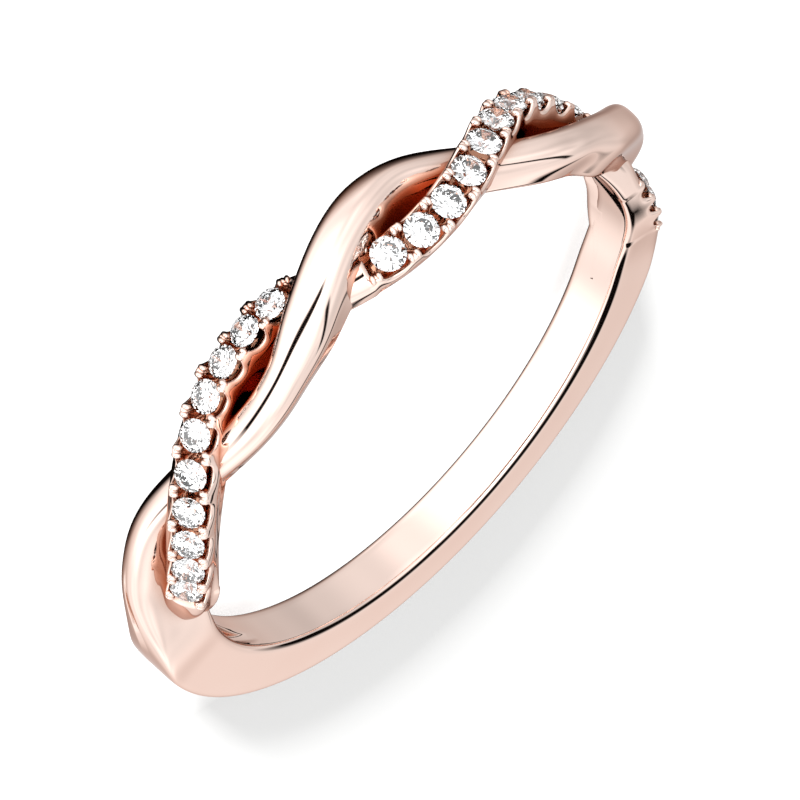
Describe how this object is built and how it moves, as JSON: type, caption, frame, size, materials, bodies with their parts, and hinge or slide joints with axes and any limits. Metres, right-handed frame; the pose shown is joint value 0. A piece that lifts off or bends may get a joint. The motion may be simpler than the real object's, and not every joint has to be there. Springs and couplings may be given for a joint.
{
  "type": "twist ring",
  "caption": "Finger ring: a plain shank that parts at the front into a polished wire and a stone-set wire twisted round each other, resting on its side.",
  "frame": {"origin": "centre of the finger hole, half way through it", "axes": "+Z along the finger hole's axis, up as the ring lies on its side; -Y towards the middle of the twist; +X to the end where the stone row starts"},
  "size_m": [0.0205, 0.0203, 0.0031],
  "materials": {
    "rose_gold": "mirror polished rose gold",
    "clear_stone": "cut and polished clear stone"
  },
  "bodies": {
    "root": {"ring_metal": "rose_gold", "stone_01": "clear_stone", "stone_02": "clear_stone", "stone_03": "clear_stone", "stone_04": "clear_stone", "stone_05": "clear_stone", "stone_06": "clear_stone", "stone_07": "clear_stone", "stone_08": "clear_stone", "stone_09": "clear_stone", "stone_10": "clear_stone", "stone_11": "clear_stone", "stone_12": "clear_stone", "stone_13": "clear_stone", "stone_14": "clear_stone", "stone_15": "clear_stone", "stone_16": "clear_stone", "stone_17": "clear_stone", "stone_18": "clear_stone", "stone_19": "clear_stone", "stone_20": "clear_stone", "stone_21": "clear_stone", "stone_22": "clear_stone", "stone_23": "clear_stone"}
  },
  "joints": []
}
